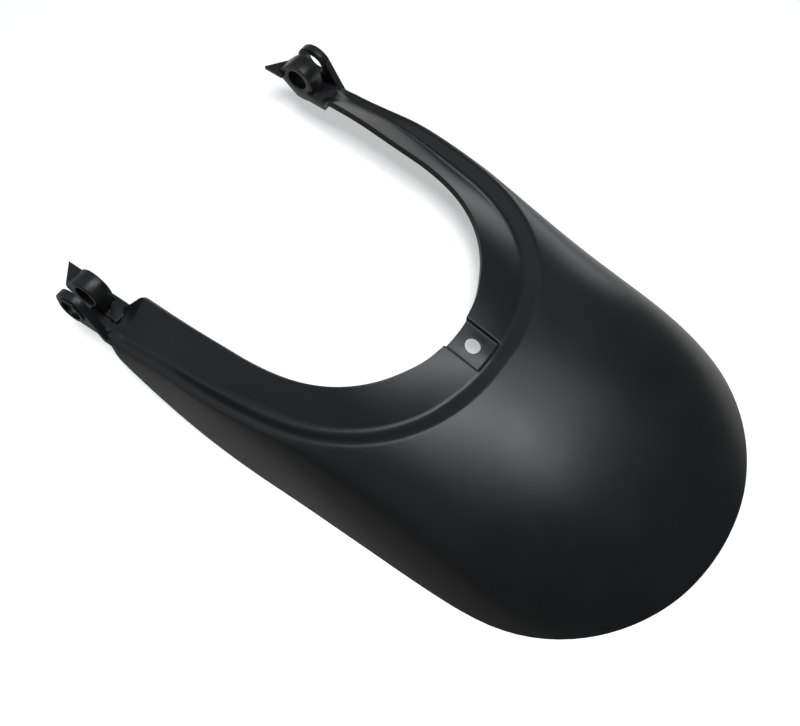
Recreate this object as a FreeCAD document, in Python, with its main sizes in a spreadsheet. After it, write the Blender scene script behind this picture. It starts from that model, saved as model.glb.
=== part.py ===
"""Rear mudguard of a light motorcycle: one moulded plastic piece.

Frame: +Z up, the rim lies on the table at z = 0, +Y runs from the tail towards
the two clips, and the piece is mirrored about x = 0.
"""
import FreeCAD, Part
import Sketcher
import math
import os
from FreeCAD import Vector

doc = FreeCAD.newDocument("mudguard")

# Driving sizes in millimetres
SIZES = [
    ("wall", 2.5, "thickness of the moulded skin"),
    ("rim_width", 172.0, "width across the rim"),
    ("rim_trim", 0.4, "skin run on below the table before it is cut flush"),
    ("trim_fade", 14.0, "length over which that run fades where the edge lifts"),
    ("tail_length", 112.8, "tail tip to the ridge on the middle plane"),
    ("tail_round", 74.8, "length of the half-elliptic tail"),
    ("step_width", 6.0, "ridge to valley, width of the step round the bend"),
    ("step_width_arm", 3.4, "ridge to valley near the arm ends"),
    ("flange_tail", 18.4, "flange width at the bottom of the opening"),
    ("flange_arm", 10.7, "flange width along the arms"),
    ("opening_depth", 118.8, "bottom of the opening to the flange ends"),
    ("opening_round", 64.3, "length of the rounded bottom of the opening"),
    ("shoulder_inset", 5.0, "ridge to rim across an arm"),
    ("ridge_splay", 2.0, "ridge moving out along an arm"),
    ("edge_splay", 0.7, "flange edge moving out along an arm"),
    ("splay_lead", 20.0, "splay beginning before the arm"),
    ("splay_trail", 14.0, "splay ending along the arm"),
    ("arm_bow", 1.2, "lower edge of an arm bowing out"),
    ("arm_tuck", 2.0, "lower edge of an arm tucking in at its end"),
    ("edge_rise_tail", 47.5, "flange edge above the table at the opening bottom"),
    ("edge_rise_arm", 50.6, "flange edge above the table at the arms"),
    ("edge_climb", 8.0, "flange edge still climbing along the arm"),
    ("valley_rise_tail", 40.6, "valley above the table at the tail"),
    ("valley_rise_arm", 38.3, "valley above the table where the arms begin"),
    ("valley_rise_end", 41.0, "valley above the table along the arms"),
    ("valley_clear", 0.3, "valley at least this far below the ridge"),
    ("ridge_rise_tail", 41.2, "ridge above the table at the tail"),
    ("ridge_rise_arm", 41.4, "ridge above the table at the arms"),
    ("ridge_rise_end", 37.5, "ridge above the table at the arm ends"),
    ("ridge_fall", 40.0, "length over which the ridge falls to the arm end"),
    ("valley_radius", 2.5, "round at the foot of the step"),
    ("ridge_radius", 5.0, "round on the ridge"),
    ("sweep_length", 96.5, "length over which the arm's lower edge lifts"),
    ("sweep_rise", 30.0, "lift of the lower edge at the flange end"),
    ("neck_length", 5.0, "flange end fading into the clip root"),
    ("neck_lead", 5.0, "fade beginning before the flange end"),
    ("neck_draw", 2.0, "flange edge drawn out before the flange end"),
    ("shelf_lift", 1.9, "flange end above the clip bar"),
    ("pad_width", 16.0, "screw pad across"),
    ("pad_depth", 1.7, "screw pad below the flange"),
    ("pad_setback", 1.0, "screw pad edge behind the flange edge"),
    ("pad_margin", 1.0, "flange left between the screw pad and the valley"),
    ("screw_hole", 7.0, "diameter of the screw hole in the pad"),
    ("cut_margin", 20.0, "overrun of a cutting block past the skin"),
    ("clip_reach", 19.3, "flange end to the clip bore"),
    ("fin_reach", 18.4, "clip bore to the fin tip"),
    ("clip_inner", 69.2, "middle plane to the inner face of the clip"),
    ("clip_bore", 10.4, "bore through the eye and the ear"),
    ("eye_length", 8.2, "length of the inner eye along its bore"),
    ("eye_diameter", 17.0, "outside of the inner eye"),
    ("bore_rise", 45.5, "clip bore above the table"),
    ("keel_drop", 11.5, "lowest point of the clip below the bore"),
    ("keel_length", 4.0, "flat on the lowest point of the clip"),
    ("keel_offset", 1.2, "middle of that flat behind the bore"),
    ("slot_width", 4.2, "gap between the eye and the ear"),
    ("ear_width", 3.6, "thickness of the outer ear"),
    ("ear_diameter", 16.0, "rounded end of the outer ear"),
    ("collar_diameter", 13.4, "collar on the outer ear"),
    ("collar_width", 1.0, "collar standing off the ear"),
    ("floor_drop", 8.6, "underside of the clip root below the bore"),
    ("bar_width", 2.7, "height of the bar behind the eye"),
    ("bar_lap", 2.0, "end of the bar short of the flange end"),
    ("bar_inset", 1.5, "bar standing inward of the eye"),
    ("web_reach", 9.5, "foot of the eye behind the bore"),
    ("nose_reach", 11.3, "front face of the eye ahead of the bore"),
    ("fin_drop", 0.6, "top of the fin below the bore"),
    ("fin_width", 2.5, "thickness of the fin"),
    ("fin_lap", 3.0, "fin let into the eye"),
    ("ear_slope_reach", 16.3, "foot of the sloped back of the ear behind the bore"),
    ("ear_shelf", 1.7, "top of the ear root below the clip floor"),
    ("ear_root", 3.8, "underside of the ear root below the clip floor"),
    ("ear_lap", 0.3, "end of the ear root ahead of the flange end"),
    ("ear_heel", 1.7, "front of the ear root ahead of the sloped back"),
    ("ear_toe", 4.3, "underside of the ear leaving its root"),
    ("ear_toe_lift", 0.4, "that point above the clip floor"),
    ("block_inset", 5.0, "root block outward of the clip's inner face"),
    ("block_cover", 2.0, "root block reaching into the ear"),
    ("block_lap", 1.0, "root block short of the flange end"),
    ("block_drop", 1.5, "root block below the underside of the ridge"),
    ("floor_length", 8.0, "slot floor along the arm"),
    ("floor_wall", 2.0, "thickness of the slot floor"),
    ("gusset_reach", 8.0, "corner web between the eye and the arm"),
    ("gusset_root", 3.0, "corner web let into the arm end"),
    ("gusset_lead", 0.4, "outer end of the corner web past the arm end"),
    ("gusset_rise", 2.0, "corner web above the bar"),
    ("gusset_inset", 0.1, "corner web behind the inner face of the bar"),
]

sheet = doc.addObject("Spreadsheet::Sheet", "Sizes")
for row, (alias, value, note) in enumerate(SIZES, start=1):
    sheet.set("A%d" % row, alias)
    sheet.set("B%d" % row, str(value))
    sheet.set("C%d" % row, note)
    sheet.setAlias("B%d" % row, alias)
doc.recompute()

# Form factors of the skin, with no unit
RIDGE_FULLNESS = 2.27
TAIL_STEEPNESS = 0.21
SIDE_STEEPNESS = 0.90
TAIL_FALL = 0.45
SIDE_FALL = 0.20
FALL_LIMIT = 0.9
STEP_CLEARANCE = 0.05
DOME_BOW = 0.56
DOME_SWELL = 0.16
NECK_SHARE = 0.45
SWEEP_LIMIT = 0.98

# Sections of the skin
BEND_SWEEP = math.radians(84)
SIDE_ANGLE = math.radians(62)
BEND_SECTIONS = 15
ARM_SECTIONS = 8
NECK_SECTIONS = 5


def size(name):
    """Value of one cell of the sheet."""
    return float(getattr(sheet, name))


# Positions along the piece, from the tail tip (negative y) to the fin tips
HALF_LENGTH = ("(Sizes.tail_length + Sizes.step_width + Sizes.flange_tail + Sizes.opening_depth"
               " + Sizes.clip_reach + Sizes.fin_reach) / 2")
BORE_Y = HALF_LENGTH + " - Sizes.fin_reach"
EDGE_Y = "Sizes.tail_length + Sizes.step_width + Sizes.flange_tail - " + HALF_LENGTH

wall = size("wall")
total = sum(size(n) for n in ("tail_length", "step_width", "flange_tail", "opening_depth",
                              "clip_reach", "fin_reach"))
tip_y = -total / 2
ridge_y = tip_y + size("tail_length")
edge_y = ridge_y + size("step_width") + size("flange_tail")
round_y = edge_y + size("opening_round")
flange_end_y = edge_y + size("opening_depth")
arm_end_y = flange_end_y + size("neck_length")
ellipse_y = tip_y + size("tail_round")
lift_y = flange_end_y - size("sweep_length")
rim_half = size("rim_width") / 2
ridge_half = rim_half - size("shoulder_inset")
ridge_depth = size("opening_round") + size("flange_tail") + size("step_width")
opening_half = ridge_half - size("step_width") - size("flange_arm")
shelf_rise = size("bore_rise") - size("floor_drop") + size("bar_width") + size("shelf_lift")


def blend(x, start, end):
    """Smooth step from 0 at start to 1 at end."""
    f = min(1.0, max(0.0, (x - start) / (end - start)))
    return f * f * (3 - 2 * f)


def mix(a, b, w):
    """Straight mix of two values."""
    return a + (b - a) * w


def fullness_radius(angle, half, depth, power):
    """Distance from the centre of the opening to a full ellipse."""
    across = abs(math.sin(angle)) / half
    along = abs(math.cos(angle)) / depth
    return (across ** power + along ** power) ** (-1 / power)


def rim_radius(angle):
    """Distance from the centre of the opening to the rim outline in plan."""
    s = abs(math.sin(angle))
    c = math.cos(angle)
    if s > 1e-9:
        side = rim_half / s
        if round_y - side * c >= ellipse_y:
            return side
    lead = round_y - ellipse_y
    a = (s / rim_half) ** 2 + (c / size("tail_round")) ** 2
    b = -2 * lead * c / size("tail_round") ** 2
    k = (lead / size("tail_round")) ** 2 - 1
    return (-b + math.sqrt(b * b - 4 * a * k)) / (2 * a)


def rim_lift(y):
    """Height of the lower edge at a place along the arm."""
    radius = (size("sweep_length") ** 2 + size("sweep_rise") ** 2) / (2 * size("sweep_rise"))
    run = min(max(0.0, y - lift_y), SWEEP_LIMIT * radius)
    lift = radius - math.sqrt(radius ** 2 - run ** 2)
    top = size("ridge_rise_end") - wall - size("block_lap")
    neck = blend(y, flange_end_y - size("neck_lead"), arm_end_y)
    return mix(min(lift, top), top, neck)


def arm_spread(y):
    """How far the section has changed from the bend to the arm."""
    return blend(y, round_y - size("splay_lead"), round_y + size("splay_trail"))


class Station:
    """One cross-section of the skin in an upright plane."""

    def __init__(self, side, angle=None, y=None):
        if angle is not None:
            self.origin = Vector(0, round_y, 0)
            self.out = Vector(side * math.sin(angle), -math.cos(angle), 0)
            self.lean = blend(angle, 0.0, SIDE_ANGLE)
            self.swell = math.sin(2 * angle) ** 2
            turn = math.sin(angle)
            edge = fullness_radius(angle, opening_half, size("opening_round"), 2.0)
            ridge = fullness_radius(angle, ridge_half, ridge_depth, RIDGE_FULLNESS)
            rim = rim_radius(angle)
            spread = arm_spread(round_y - ridge * math.cos(angle))
            edge += size("edge_splay") * spread
            along = round_y - edge * math.cos(angle)
            rim_along = round_y - rim * math.cos(angle)
        else:
            self.origin = Vector(0, y, 0)
            self.out = Vector(side, 0, 0)
            self.lean = 1.0
            self.swell = 0.0
            turn = 1.0
            rim = rim_half
            spread = arm_spread(y)
            edge = opening_half + size("edge_splay") * spread
            ridge = ridge_half
            along = y
            rim_along = y
        ridge += size("ridge_splay") * spread
        self.set_top(edge, ridge, along, turn, spread)
        self.set_rim(rim, rim_along)

    def set_top(self, edge, ridge, along, turn, spread):
        """Flange edge, valley and ridge, which fade down and out into the clip root."""
        climb = blend(along, edge_y, round_y + size("edge_climb"))
        edge_z = mix(size("edge_rise_tail"), size("edge_rise_arm"), climb)
        bend_z = mix(size("valley_rise_tail"), size("valley_rise_arm"), turn)
        valley_z = mix(bend_z, size("valley_rise_end"), spread)
        ridge_z = mix(size("ridge_rise_tail"), size("ridge_rise_arm"), turn ** 2)
        drawn_y = flange_end_y - size("neck_draw")
        ridge_z = mix(ridge_z, size("ridge_rise_end"), blend(along, flange_end_y - size("ridge_fall"), drawn_y))
        valley_z = min(valley_z, ridge_z - size("valley_clear"))
        valley = ridge - mix(size("step_width"), size("step_width_arm"), spread)
        fade = blend(along, flange_end_y - size("neck_lead"), arm_end_y)
        draw = blend(along, drawn_y, arm_end_y)
        self.edge = (mix(edge, size("clip_inner"), draw), mix(edge_z, shelf_rise, fade))
        self.valley = (valley, mix(valley_z, mix(ridge_z, shelf_rise, NECK_SHARE), fade))
        self.ridge = (ridge, ridge_z)

    def set_rim(self, rim, along):
        """Lower edge, and how far the skin runs on below the table."""
        share = min(1.0, max(0.0, (along - lift_y) / (arm_end_y - lift_y)))
        bow = size("arm_bow") * math.sin(math.pi * share)
        tuck = size("arm_tuck") * blend(along, flange_end_y - size("neck_lead"), arm_end_y)
        self.rim = (rim + bow - tuck, rim_lift(along))
        self.under = size("rim_trim") * (1 - blend(along, lift_y, lift_y + size("trim_fade")))

    def at(self, point):
        """Point of the section plane in space."""
        u, z = point
        return self.origin + self.out * u + Vector(0, 0, z)


def unit(a, b):
    """Direction from one section point to another."""
    d = math.hypot(b[0] - a[0], b[1] - a[1])
    return ((b[0] - a[0]) / d, (b[1] - a[1]) / d)


def step(p, d, length):
    """Section point moved along a direction."""
    return (p[0] + d[0] * length, p[1] + d[1] * length)


def crossing(p, d, q, e):
    """Where two lines of the section plane meet."""
    det = d[0] * -e[1] + e[0] * d[1]
    k = ((q[0] - p[0]) * -e[1] + e[0] * (q[1] - p[1])) / det
    return step(p, d, k)


def between(p, q, w):
    """Section point on the way from one point to another."""
    return (mix(p[0], q[0], w), mix(p[1], q[1], w))


def round_corner(before, corner, after, radius):
    """Cubic poles of a round put on a corner between two straight runs."""
    into = unit(before, corner)
    out = unit(corner, after)
    bend = math.acos(max(-1.0, min(1.0, into[0] * out[0] + into[1] * out[1])))
    reach = radius * math.tan(bend / 2)
    handle = 4.0 / 3.0 * math.tan(bend / 4) * radius
    a = step(corner, into, -reach)
    d = step(corner, out, reach)
    return [a, step(a, into, handle), step(d, out, -handle), d]


def skin_poles(station, drop):
    """Runs of one face of the skin: flange, valley, step, ridge and dome."""
    edge, valley, ridge, rim = station.edge, station.valley, station.ridge, station.rim
    chord = math.atan2(ridge[1] - rim[1], rim[0] - ridge[0])
    stand = chord + (math.pi / 2 - chord) * mix(TAIL_STEEPNESS, SIDE_STEEPNESS, station.lean)
    step_slope = math.atan2(valley[1] - ridge[1], ridge[0] - valley[0])
    fall = max(chord * mix(TAIL_FALL, SIDE_FALL, station.lean), step_slope + STEP_CLEARANCE)
    fall = min(fall, FALL_LIMIT * chord)
    leave = (math.cos(fall), -math.sin(fall))
    arrive = (math.cos(stand), -math.sin(stand))
    flange = unit(edge, valley)
    rise = unit(valley, ridge)

    def moved(p, d):
        """Point of a run moved square to it by the skin thickness."""
        return (p[0] + d[1] * drop, p[1] - d[0] * drop)

    start = moved(edge, flange)
    low = crossing(start, flange, moved(valley, rise), rise)
    top = crossing(low, rise, moved(ridge, leave), leave)
    foot = (rim[0] - drop / math.sin(stand) + station.under / math.tan(stand), rim[1] - station.under)
    hollow = round_corner(start, low, top, size("valley_radius") + drop)
    crest = round_corner(low, top, step(top, leave, 1.0), size("ridge_radius") - drop)
    knee = crossing(crest[3], leave, foot, arrive)
    bow = DOME_BOW + DOME_SWELL * station.swell
    dome = [crest[3], between(crest[3], knee, bow), between(foot, knee, bow), foot]
    return [[start, hollow[0]], hollow, [hollow[3], crest[0]], crest, dome]


def curve_edge(station, poles):
    """Edge of the section drawn from its poles."""
    points = [station.at(p) for p in poles]
    if len(points) == 2:
        return Part.makeLine(points[0], points[1])
    curve = Part.BezierCurve()
    curve.setPoles(points)
    return curve.toShape()


def section_wire(station):
    """Closed outline of the skin at one station."""
    upper = skin_poles(station, 0.0)
    lower = skin_poles(station, wall)
    runs = list(upper)
    runs.append([upper[-1][-1], lower[-1][-1]])
    for run in reversed(lower):
        runs.append(list(reversed(run)))
    runs.append([lower[0][0], upper[0][0]])
    return Part.Wire([curve_edge(station, run) for run in runs])


def spaced(start, end, count):
    """Even places from start up to, but not at, the end."""
    return [mix(start, end, i / count) for i in range(count)]


# The skin: closely set sections round the opening and along both arms, joined by ruled faces
neck_y = flange_end_y - size("neck_draw")
angles = spaced(0.0, BEND_SWEEP, BEND_SECTIONS) + [BEND_SWEEP]
arm_places = spaced(round_y, neck_y, ARM_SECTIONS) + spaced(neck_y, arm_end_y, NECK_SECTIONS) + [arm_end_y]
stations = [Station(-1, y=y) for y in reversed(arm_places)]
stations += [Station(-1, angle=a) for a in reversed(angles[1:])]
stations += [Station(1, angle=a) for a in angles]
stations += [Station(1, y=y) for y in arm_places]

shell = doc.addObject("Part::Feature", "Shell")
shell.Shape = Part.makeLoft([section_wire(s) for s in stations], True, True)


def bound(obj, **links):
    """Bind properties of an object to expressions over the sheet."""
    for name, expression in links.items():
        obj.setExpression(name.replace("__", "."), expression)
    return obj


def box(label, **links):
    """Block whose sizes and place are bound to the sheet."""
    return bound(doc.addObject("Part::Box", label), **links)


def place(x, y, z):
    """Links of a place in the frame."""
    return {"Placement__Base__x": x, "Placement__Base__y": y, "Placement__Base__z": z}


# Block that cuts the rim flush with the table
rim_cut = box("RimCut", Length="Sizes.rim_width + 2 * Sizes.cut_margin",
              Width="2 * (%s) + 2 * Sizes.cut_margin" % HALF_LENGTH, Height="Sizes.cut_margin",
              **place("-Sizes.rim_width / 2 - Sizes.cut_margin",
                      "-(%s) - Sizes.cut_margin" % HALF_LENGTH, "-Sizes.cut_margin"))

# Screw pad: a recessed plate in the flange at the bottom of the opening
TILT = "atan((Sizes.edge_rise_tail - Sizes.valley_rise_tail) / Sizes.flange_tail)"
PAD_LENGTH = "((Sizes.flange_tail - Sizes.pad_setback) / cos(%s) - Sizes.pad_margin)" % TILT
PAD_BACK = "Sizes.pad_setback + " + PAD_LENGTH


def on_flange(kind, label, back, up, **links):
    """Solid set square on the flange, so far behind its edge and above its face."""
    piece = doc.addObject(kind, label)
    piece.Placement.Rotation = FreeCAD.Rotation(Vector(1, 0, 0), 10)
    piece.setExpression("Placement.Rotation.Angle", TILT)
    piece.setExpression("Placement.Base.y", "%s - (%s) * cos(%s) - (%s) * sin(%s)" % (
        EDGE_Y, back, TILT, up, TILT))
    piece.setExpression("Placement.Base.z", "Sizes.edge_rise_tail - (%s) * sin(%s) + (%s) * cos(%s)" % (
        back, TILT, up, TILT))
    return bound(piece, **links)


pad_plate = on_flange("Part::Box", "PadPlate", PAD_BACK, "-Sizes.pad_depth - Sizes.wall",
                      Length="Sizes.pad_width + 2 * Sizes.wall", Width=PAD_LENGTH,
                      Height="Sizes.pad_depth + Sizes.wall / 2",
                      Placement__Base__x="-Sizes.pad_width / 2 - Sizes.wall")
pad_recess = on_flange("Part::Box", "PadRecess", PAD_BACK, "-Sizes.pad_depth",
                       Length="Sizes.pad_width", Width=PAD_LENGTH + " + Sizes.cut_margin",
                       Height="Sizes.cut_margin", Placement__Base__x="-Sizes.pad_width / 2")
pad_front = on_flange("Part::Box", "PadFront", "Sizes.pad_setback", "-Sizes.cut_margin",
                      Length="Sizes.pad_width", Width="Sizes.cut_margin",
                      Height="2 * Sizes.cut_margin", Placement__Base__x="-Sizes.pad_width / 2")
pad_hole = on_flange("Part::Cylinder", "PadHole", "Sizes.pad_setback + %s / 2" % PAD_LENGTH,
                     "-Sizes.cut_margin", Radius="Sizes.screw_hole / 2", Height="2 * Sizes.cut_margin")


class Outline:
    """Closed sketch of straight runs and one round end about the bore."""

    def __init__(self, label, plane):
        self.body = doc.addObject("PartDesign::Body", label)
        self.sketch = self.body.newObject("Sketcher::SketchObject", label + "Sketch")
        support = [f for f in self.body.Origin.OriginFeatures if f.Role == plane][0]
        self.sketch.AttachmentSupport = [(support, "")]
        self.sketch.MapMode = "FlatFace"

    def run(self, points):
        """Straight runs through the points; returns their numbers."""
        numbers = []
        for a, b in zip(points, points[1:]):
            numbers.append(self.sketch.addGeometry(Part.LineSegment(Vector(*a, 0), Vector(*b, 0)), False))
        for a, b in zip(numbers, numbers[1:]):
            self.sketch.addConstraint(Sketcher.Constraint("Coincident", a, 2, b, 1))
        return numbers

    def close(self, last, first):
        """Join the end of one run to the start of another."""
        self.sketch.addConstraint(Sketcher.Constraint("Coincident", last, 2, first, 1))

    def fix(self, line, end, name, across, up):
        """Tie one end of a run to the origin by two named sizes with their signs."""
        for kind, (sign, expression) in (("DistanceX", across), ("DistanceY", up)):
            first, second = ((-1, 1), (line, end)) if sign > 0 else ((line, end), (-1, 1))
            point = self.sketch.getPoint(line, end)
            value = abs(point.x if kind == "DistanceX" else point.y)
            index = self.sketch.addConstraint(Sketcher.Constraint(kind, *first, *second, value))
            label = name + ("_across" if kind == "DistanceX" else "_up")
            self.sketch.renameConstraint(index, label)
            self.sketch.setExpression("Constraints." + label, expression)

    def radius(self, number, name, expression):
        """Bind the radius of a round."""
        now = self.sketch.Geometry[number].Radius
        index = self.sketch.addConstraint(Sketcher.Constraint("Radius", number, now))
        self.sketch.renameConstraint(index, name)
        self.sketch.setExpression("Constraints." + name, expression)

    def bore(self):
        """Clip bore about the origin."""
        circle = Part.Circle(Vector(0, 0, 0), Vector(0, 0, 1), size("clip_bore") / 2)
        number = self.sketch.addGeometry(circle, False)
        self.sketch.addConstraint(Sketcher.Constraint("Coincident", number, 3, -1, 1))
        self.radius(number, "bore_round", "Sizes.clip_bore / 2")

    def round_end(self, front, back, radius, name, expression):
        """Round about the bore joining the front run to the back run without a corner."""
        a = self.sketch.getPoint(front, 2)
        b = self.sketch.getPoint(back, 1)
        arc = Part.ArcOfCircle(Part.Circle(Vector(0, 0, 0), Vector(0, 0, 1), radius),
                               math.atan2(a.y, a.x), math.atan2(b.y, b.x))
        number = self.sketch.addGeometry(arc, False)
        self.sketch.addConstraint(Sketcher.Constraint("Coincident", number, 3, -1, 1))
        self.sketch.addConstraint(Sketcher.Constraint("Tangent", front, 2, number, 1))
        self.sketch.addConstraint(Sketcher.Constraint("Tangent", back, 1, number, 2))
        self.radius(number, name, expression)

    def pad(self, length, base):
        """Pad the sketch and put the body in its place."""
        pad = self.body.newObject("PartDesign::Pad", self.body.Label + "Pad")
        pad.Profile = self.sketch
        pad.setExpression("Length", length)
        self.sketch.Visibility = False
        bound(self.body, **base)
        return self.body


def tangent_point(foot, radius, turn):
    """Where a run from the foot touches the round about the origin."""
    distance = math.hypot(*foot)
    angle = math.atan2(foot[1], foot[0]) + turn * math.acos(radius / distance)
    return (radius * math.cos(angle), radius * math.sin(angle))


# Inner eye of the clip: a bored boss on a bar, drawn in the side view about its bore
floor = size("floor_drop")
bar_top = floor - size("bar_width")
eye_r = size("eye_diameter") / 2
bar_root = size("clip_reach") - size("bar_lap")
keel_back = size("keel_length") / 2 + size("keel_offset")
keel_front = size("keel_length") / 2 - size("keel_offset")
nose = (size("nose_reach"), -size("fin_drop"))
foot = (-size("web_reach"), -bar_top)
eye = Outline("Eye", "YZ_Plane")
front_run = eye.run([(-bar_root, -bar_top), (-bar_root, -floor), (-keel_back, -size("keel_drop")),
                     (keel_front, -size("keel_drop")), (nose[0], nose[1] - size("fin_width")), nose,
                     tangent_point(nose, eye_r, 1)])
back_run = eye.run([tangent_point(foot, eye_r, -1), foot, (-bar_root, -bar_top)])
eye.close(back_run[-1], front_run[0])
BAR_ROOT = "Sizes.clip_reach - Sizes.bar_lap"
BAR_TOP = "Sizes.floor_drop - Sizes.bar_width"
eye.fix(front_run[0], 1, "root_top", (-1, BAR_ROOT), (-1, BAR_TOP))
eye.fix(front_run[0], 2, "root_floor", (-1, BAR_ROOT), (-1, "Sizes.floor_drop"))
eye.fix(front_run[1], 2, "keel_back", (-1, "Sizes.keel_length / 2 + Sizes.keel_offset"), (-1, "Sizes.keel_drop"))
eye.fix(front_run[2], 2, "keel_front", (1, "Sizes.keel_length / 2 - Sizes.keel_offset"), (-1, "Sizes.keel_drop"))
eye.fix(front_run[3], 2, "nose_low", (1, "Sizes.nose_reach"), (-1, "Sizes.fin_drop + Sizes.fin_width"))
eye.fix(front_run[4], 2, "nose_top", (1, "Sizes.nose_reach"), (-1, "Sizes.fin_drop"))
eye.fix(back_run[0], 2, "foot", (-1, "Sizes.web_reach"), (-1, BAR_TOP))
eye.round_end(front_run[-1], back_run[0], eye_r, "eye_round", "Sizes.eye_diameter / 2")
eye.bore()
eye_body = eye.pad("Sizes.eye_length", place("Sizes.clip_inner", BORE_Y, "Sizes.bore_rise"))

# Outer ear: a rounded plate across the slot, bored in line with the eye, with a collar
ear_r = size("ear_diameter") / 2
ear_top = floor + size("ear_shelf")
ear_low = floor + size("ear_root")
ear_end = size("clip_reach") - size("ear_lap")
slope = (-size("ear_slope_reach"), -ear_top)
toe = (size("ear_toe") - size("ear_slope_reach"), size("ear_toe_lift") - floor)
ear = Outline("Ear", "YZ_Plane")
ear_front = ear.run([slope, (-ear_end, -ear_top), (-ear_end, -ear_low),
                     (size("ear_heel") - size("ear_slope_reach"), -ear_low), toe, tangent_point(toe, ear_r, 1)])
ear_back = ear.run([tangent_point(slope, ear_r, -1), slope])
ear.close(ear_back[-1], ear_front[0])
EAR_END = "Sizes.clip_reach - Sizes.ear_lap"
EAR_TOP = "Sizes.floor_drop + Sizes.ear_shelf"
EAR_LOW = "Sizes.floor_drop + Sizes.ear_root"
ear.fix(ear_front[0], 1, "slope_foot", (-1, "Sizes.ear_slope_reach"), (-1, EAR_TOP))
ear.fix(ear_front[0], 2, "root_top", (-1, EAR_END), (-1, EAR_TOP))
ear.fix(ear_front[1], 2, "root_low", (-1, EAR_END), (-1, EAR_LOW))
ear.fix(ear_front[2], 2, "heel", (-1, "Sizes.ear_slope_reach - Sizes.ear_heel"), (-1, EAR_LOW))
ear.fix(ear_front[3], 2, "toe", (-1, "Sizes.ear_slope_reach - Sizes.ear_toe"),
        (-1, "Sizes.floor_drop - Sizes.ear_toe_lift"))
ear.round_end(ear_front[-1], ear_back[0], ear_r, "ear_round", "Sizes.ear_diameter / 2")
ear.bore()
EAR_X = "Sizes.clip_inner + Sizes.eye_length + Sizes.slot_width"
ear_body = ear.pad("Sizes.ear_width", place(EAR_X, BORE_Y, "Sizes.bore_rise"))

collar_place = place(EAR_X + " + Sizes.ear_width", BORE_Y, "Sizes.bore_rise")
collar_disc = bound(doc.addObject("Part::Cylinder", "CollarDisc"), Radius="Sizes.collar_diameter / 2",
                    Height="Sizes.collar_width", **collar_place)
collar_hole = bound(doc.addObject("Part::Cylinder", "CollarHole"), Radius="Sizes.clip_bore / 2",
                    Height="Sizes.collar_width", **collar_place)
for disc in (collar_disc, collar_hole):
    disc.Placement.Rotation = FreeCAD.Rotation(Vector(0, 1, 0), 90)
collar = doc.addObject("Part::Cut", "Collar")
collar.Base = collar_disc
collar.Tool = collar_hole

# Fin ahead of the eye, a flat three-cornered plate seen from above
fin_wide = size("eye_length") + size("bar_inset")
fin_heel = size("nose_reach") - size("fin_lap")
fin = Outline("Fin", "XY_Plane")
fin_run = fin.run([(0, size("fin_reach")), (0, fin_heel), (fin_wide, fin_heel),
                   (fin_wide, size("nose_reach")), (0, size("fin_reach"))])
fin.close(fin_run[-1], fin_run[0])
FIN_HEEL = "Sizes.nose_reach - Sizes.fin_lap"
for line, end, name, expression in ((fin_run[0], 1, "tip", "Sizes.fin_reach"),
                                    (fin_run[0], 2, "heel", FIN_HEEL)):
    fin.sketch.addConstraint(Sketcher.Constraint("PointOnObject", line, end, -2))
    height = fin.sketch.getPoint(line, end).y
    index = fin.sketch.addConstraint(Sketcher.Constraint("DistanceY", -1, 1, line, end, height))
    fin.sketch.renameConstraint(index, name)
    fin.sketch.setExpression("Constraints." + name, expression)
FIN_WIDE = "Sizes.eye_length + Sizes.bar_inset"
fin.fix(fin_run[1], 2, "corner", (1, FIN_WIDE), (1, FIN_HEEL))
fin.fix(fin_run[2], 2, "shoulder", (1, FIN_WIDE), (1, "Sizes.nose_reach"))
BAR_X = "Sizes.clip_inner - Sizes.bar_inset"
FIN_Z = "Sizes.bore_rise - Sizes.fin_drop - Sizes.fin_width"
fin_body = fin.pad("Sizes.fin_width", place(BAR_X, BORE_Y, FIN_Z))

# Root of the clip: a solid end to the arm, the slot's floor and a corner web beside the eye
ARM_END_Y = BORE_Y + " - Sizes.clip_reach + Sizes.neck_length"
FLOOR_Z = "Sizes.bore_rise - Sizes.floor_drop"
root_block = box("RootBlock",
                 Length="Sizes.eye_length + Sizes.slot_width + Sizes.block_cover - Sizes.block_inset",
                 Width="Sizes.neck_length - Sizes.block_lap", Height="Sizes.wall + Sizes.block_lap",
                 **place("Sizes.clip_inner + Sizes.block_inset",
                         ARM_END_Y + " - Sizes.neck_length + Sizes.block_lap",
                         "Sizes.ridge_rise_end - Sizes.wall - Sizes.block_drop"))
slot_floor = box("SlotFloor", Length="Sizes.eye_length + Sizes.slot_width + Sizes.block_lap",
                 Width="Sizes.floor_length", Height="Sizes.floor_wall",
                 **place("Sizes.clip_inner", ARM_END_Y + " - Sizes.bar_lap", FLOOR_Z))
web_deep = fin_wide + size("gusset_lead")
web_near = size("gusset_inset")
web_root = -size("gusset_root")
web = Outline("CornerWeb", "XY_Plane")
web_run = web.run([(web_near, web_root), (web_deep, web_root), (web_deep, size("gusset_lead")),
                   (size("bar_inset"), size("gusset_reach")), (web_near, size("gusset_reach")),
                   (web_near, web_root)])
web.close(web_run[-1], web_run[0])
WEB_DEEP = FIN_WIDE + " + Sizes.gusset_lead"
web.fix(web_run[0], 1, "back_inner", (1, "Sizes.gusset_inset"), (-1, "Sizes.gusset_root"))
web.fix(web_run[0], 2, "back_outer", (1, WEB_DEEP), (-1, "Sizes.gusset_root"))
web.fix(web_run[1], 2, "front_outer", (1, WEB_DEEP), (1, "Sizes.gusset_lead"))
web.fix(web_run[2], 2, "front_corner", (1, "Sizes.bar_inset"), (1, "Sizes.gusset_reach"))
web.fix(web_run[3], 2, "front_inner", (1, "Sizes.gusset_inset"), (1, "Sizes.gusset_reach"))
web_body = web.pad("Sizes.bar_width + Sizes.gusset_rise", place(BAR_X, ARM_END_Y, FLOOR_Z))

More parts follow.
